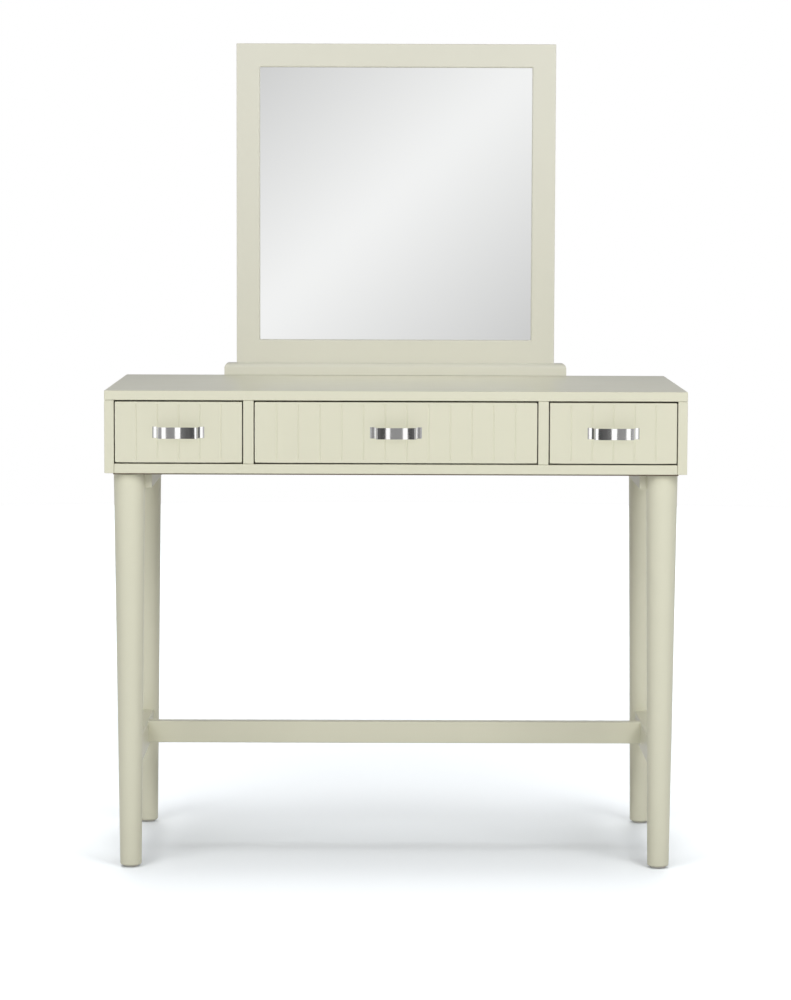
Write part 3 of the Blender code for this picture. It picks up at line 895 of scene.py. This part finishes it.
def make_base():
    """Base moulding: ovolo along its front and end top edges, returned at both ends."""
    low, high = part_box("mirror_base")
    frame_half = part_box("mirror_stile_right")[1].x
    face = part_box("mirror_stile_right")[0].y
    outline = [
        (low.x, low.y), (high.x, low.y), (high.x, high.y), (frame_half, high.y),
        (frame_half, face), (-frame_half, face), (-frame_half, high.y), (low.x, high.y),
    ]
    shape = prism(outline, low.z, high.z, upright)

    def outer_top(a, b):
        on_top = min(a.z, b.z) > high.z - NEAR
        along_front = max(a.y, b.y) < low.y + NEAR
        along_end = min(abs(a.x), abs(b.x)) > high.x - NEAR
        return on_top and (along_front or along_end)

    round_edges(shape, BASE_ROUNDING, 10, outer_top)
    mesh = mesh_from("mirror_base_fine", shape)
    finish_piece("mirror_base_fine", mesh, FRAME_PAINT_X, "table", ("mirror_base",))


def make_bolts():
    """Bolt heads in the stiles' counterbores."""
    floor_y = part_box("mirror_stile_left")[1].y - BOLT_BORE[1]
    for i, (x, z) in enumerate(bolt_places()):
        make_screw(f"mirror_bolt_{i + 1}", (x, floor_y, z), (0, 1, 0), BOLT_HEAD, "table")


# ---------------------------------------------------------------- studio
def make_floor():
    """Pale floor: lit diffusely and lifted a little, so that it runs out to white."""
    shape = bmesh.new()
    bmesh.ops.create_circle(shape, cap_ends=True, segments=96, radius=FLOOR_RADIUS)
    mesh = mesh_from("floor", shape)
    finish = Finish("floor")
    seen = finish.node("ShaderNodeLightPath").outputs["Is Camera Ray"]
    pale = finish.blend(finish.noise(2.0), rgb(0.775, 0.80, 0.82), rgb(0.785, 0.81, 0.83))
    finish.link(finish.blend(seen, rgb(0.50, 0.50, 0.49), pale), "Base Color")
    away = finish.node("ShaderNodeVectorMath", {"Vector": finish.coordinates}, operation="LENGTH")
    start, complete = FLOOR_LIFT_REACH
    lift = finish.node("ShaderNodeMapRange", {
        "Value": away.outputs["Value"], "From Min": start, "From Max": complete,
        "To Min": FLOOR_LIFT, "To Max": FLOOR_LIFT + FLOOR_LIFT_RISE})
    glow = finish.node("ShaderNodeMath", {0: seen, 1: lift.outputs["Result"]}, operation="MULTIPLY")
    finish.link(glow.outputs["Value"], "Emission Strength")
    finish.set(Roughness=0.9, Specular_IOR_Level=0.1, Emission_Color=rgb(0.90, 0.97, 1.02))
    mesh.materials.append(finish.material)
    floor = link_object("floor", mesh)
    return floor


def make_reflector_cards():
    """Upright cards in front, seen only in reflections: as stripes in the polished handles."""
    y = FRONT_Y - CARD_DISTANCE
    foot, head = CARD_HEIGHTS
    for i, (near, far, glow) in enumerate(CARD_BANDS):
        shape = bmesh.new()
        corners = ((near, foot), (far, foot), (far, head), (near, head))
        shape.faces.new([shape.verts.new((x, y, z)) for x, z in corners])
        mesh = mesh_from("reflector_card", shape)
        finish = Finish("reflector_card")
        finish.set(Base_Color=rgb(0, 0, 0), Specular_IOR_Level=0.0,
                   Emission_Color=rgb(1.0, 0.99, 0.97), Emission_Strength=glow)
        mesh.materials.append(finish.material)
        card = link_object(f"reflector_card_{i + 1}", mesh)
        card.visible_camera = False
        card.visible_diffuse = False
        card.visible_shadow = False


class WorldNodes:
    """Short calls for the arithmetic in the world's shader."""

    def __init__(self, tree):
        self.tree = tree

    def math(self, operation, *values):
        """Math node over values or outputs."""
        made = self.tree.nodes.new("ShaderNodeMath")
        made.operation = operation
        for i, value in enumerate(values):
            if isinstance(value, bpy.types.NodeSocket):
                self.tree.links.new(value, made.inputs[i])
            else:
                made.inputs[i].default_value = value
        return made.outputs["Value"]

    def step(self, value, low, high):
        """0 below low, 1 above high, smooth between."""
        made = self.tree.nodes.new("ShaderNodeMapRange")
        made.interpolation_type = "SMOOTHSTEP"
        self.tree.links.new(value, made.inputs["Value"])
        made.inputs["From Min"].default_value = low
        made.inputs["From Max"].default_value = high
        return made.outputs["Result"]

    def window(self, value, low, high, soft):
        """1 between low and high, with soft edges."""
        rise = self.step(value, low - soft, low + soft)
        fall = self.step(value, high - soft, high + soft)
        return self.math("SUBTRACT", rise, fall)

    def mix(self, factor, first, second):
        """first where factor is 0, second where it is 1."""
        difference = self.math("SUBTRACT", second, first)
        return self.math("MULTIPLY_ADD", difference, factor, first)


def make_world():
    """Studio all round: grey behind, bright in front, a graded card facing the mirror."""
    world = bpy.data.worlds.new("studio")
    bpy.context.scene.world = world
    world.use_nodes = True
    tree = world.node_tree
    nodes = WorldNodes(tree)
    direction = tree.nodes.new("ShaderNodeTexCoord").outputs["Generated"]
    split = tree.nodes.new("ShaderNodeSeparateXYZ")
    tree.links.new(direction, split.inputs[0])
    x, y, z = split.outputs
    ahead = nodes.math("MULTIPLY", y, -1.0)

    # walls, ceiling and floor, by the direction's x, y and z
    back = nodes.mix(nodes.step(x, -0.5, 0.0), BACK_GLOW * BACK_LEFT, BACK_GLOW)
    room = nodes.mix(nodes.step(y, 0.45, 0.85), SIDE_GLOW, back)
    room = nodes.mix(nodes.step(ahead, 0.35, 0.65), room, FRONT_GLOW)
    room = nodes.mix(nodes.step(z, 0.45, 0.70), room, CEILING_GLOW)
    room = nodes.mix(nodes.step(z, 0.00, -0.04), room, FLOOR_GLOW)

    # the card is drawn over slopes seen from the mirror, and fades away from its diagonal
    depth = nodes.math("MAXIMUM", ahead, 0.05)
    across = nodes.math("DIVIDE", x, depth)
    rise = nodes.math("DIVIDE", z, depth)
    lowered = nodes.math("ADD", rise, MIRROR_CARD_DROP)
    slant_x, slant_z = MIRROR_CARD_SLANT
    tilt = nodes.math("ADD", nodes.math("MULTIPLY", across, slant_x),
                      nodes.math("MULTIPLY", lowered, slant_z))
    away = nodes.math("SQRT", nodes.math("MULTIPLY_ADD", tilt, tilt, MIRROR_CARD_BLEND))
    card = nodes.math("SUBTRACT", MIRROR_CARD_GLOW,
                      nodes.math("MULTIPLY", away, MIRROR_CARD_FADE))
    card = nodes.math("MAXIMUM", card, MIRROR_CARD_DARK)
    foot, head = MIRROR_CARD_RISE
    soft_sides, soft_ends = MIRROR_CARD_SOFT
    in_width = nodes.window(across, -MIRROR_CARD_ACROSS, MIRROR_CARD_ACROSS, soft_sides)
    in_height = nodes.window(rise, foot, head, soft_ends)
    inside = nodes.math("MULTIPLY", in_width, in_height)
    inside = nodes.math("MULTIPLY", inside, nodes.step(ahead, 0.05, 0.20))
    light = nodes.mix(inside, room, card)

    # the camera itself sees plain white
    seen = tree.nodes.new("ShaderNodeLightPath").outputs["Is Camera Ray"]
    shown = nodes.mix(seen, light, 1.0)
    tree.links.new(shown, tree.nodes["Background"].inputs["Color"])


def make_light(name, kind, energy, place):
    """Light that the camera itself doesn't see; place is its matrix."""
    data = bpy.data.lights.new(name, kind)
    data.energy = energy
    light = link_object(name, data)
    light.matrix_world = place
    light.visible_camera = False
    return light


def make_softboxes(handles):
    """Two softboxes in front; the handles throw no shadow in their light."""
    passed = bpy.data.collections.new("passed_by_softboxes")
    for handle in handles:
        passed.objects.link(handle)
    for member in passed.collection_objects:
        member.light_linking.link_state = "EXCLUDE"
    x, depth, z = SOFTBOX_PLACE
    for side, sign in SIDES:
        place = Vector((sign * x, FRONT_Y + depth, z))
        aim = (Vector((0.0, FRONT_Y, SOFTBOX_AIM)) - place).to_track_quat("-Z", "Y")
        light = make_light(f"softbox_{side}", "AREA", SOFTBOX_ENERGY * (1.0 + SOFTBOX_LEAN * sign),
                           Matrix.Translation(place) @ aim.to_matrix().to_4x4())
        light.data.shape = "SQUARE"
        light.data.size = SOFTBOX_SIZE
        light.light_linking.blocker_collection = passed


def make_mirror_bounce():
    """Light that the mirror throws forwards, for the table top and the base moulding only."""
    low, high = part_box("mirror_glass")
    place = Matrix.Translation((0.0, low.y - BOUNCE_GAP, (low.z + high.z) / 2))
    light = make_light("mirror_bounce", "AREA", BOUNCE_ENERGY,
                       place @ Matrix.Rotation(-pi / 2, 4, "X"))
    light.data.size = high.x - low.x
    light.visible_glossy = False
    lit = bpy.data.collections.new("lit_by_mirror")
    for name in ("top_panel_fine", "mirror_base_fine"):
        lit.objects.link(bpy.data.objects[name])
    light.light_linking.receiver_collection = lit


def make_overhead_lights(floor):
    """Row of wide suns overhead that light only the floor, so that the table shades it softly."""
    shaded = bpy.data.collections.new("shaded_by_overhead_lights")
    shaded.objects.link(floor)
    for i, tilt in enumerate(OVERHEAD_TILTS):
        light = make_light(f"overhead_{i + 1}", "SUN", OVERHEAD_ENERGY,
                           Matrix.Rotation(radians(tilt), 4, "X"))
        light.data.angle = radians(OVERHEAD_ANGLE)
        light.light_linking.receiver_collection = shaded


# ---------------------------------------------------------------- camera
def make_camera():
    """A long lens a little above the table top, looking slightly down."""
    data = bpy.data.cameras.new("camera")
    data.sensor_width = CAMERA_SENSOR
    data.lens = CAMERA_LENS
    camera = link_object("camera", data)
    x, depth, z = CAMERA_PLACE
    place = Matrix.Translation((x, FRONT_Y + depth, z))
    yaw = Matrix.Rotation(CAMERA_YAW, 4, "Z")
    pitch = Matrix.Rotation(pi / 2 + CAMERA_PITCH, 4, "X")
    roll = Matrix.Rotation(CAMERA_ROLL, 4, "Z")
    camera.matrix_world = place @ yaw @ pitch @ roll
    bpy.context.scene.camera = camera


# ---------------------------------------------------------------- everything
make_case()
handles = []
for drawer in DRAWERS:
    make_drawer_front(drawer)
    handles.append(make_handle(drawer))
    make_drawer_box(drawer)
    make_slides(drawer)
make_underframe()
make_mirror_frame()
make_glass()
make_backing_points()
make_base()
make_bolts()
make_reflector_cards()
make_world()
floor = make_floor()
make_softboxes(handles)
make_mirror_bounce()
make_overhead_lights(floor)
make_camera()
bpy.context.scene.view_settings.view_transform = "Standard"
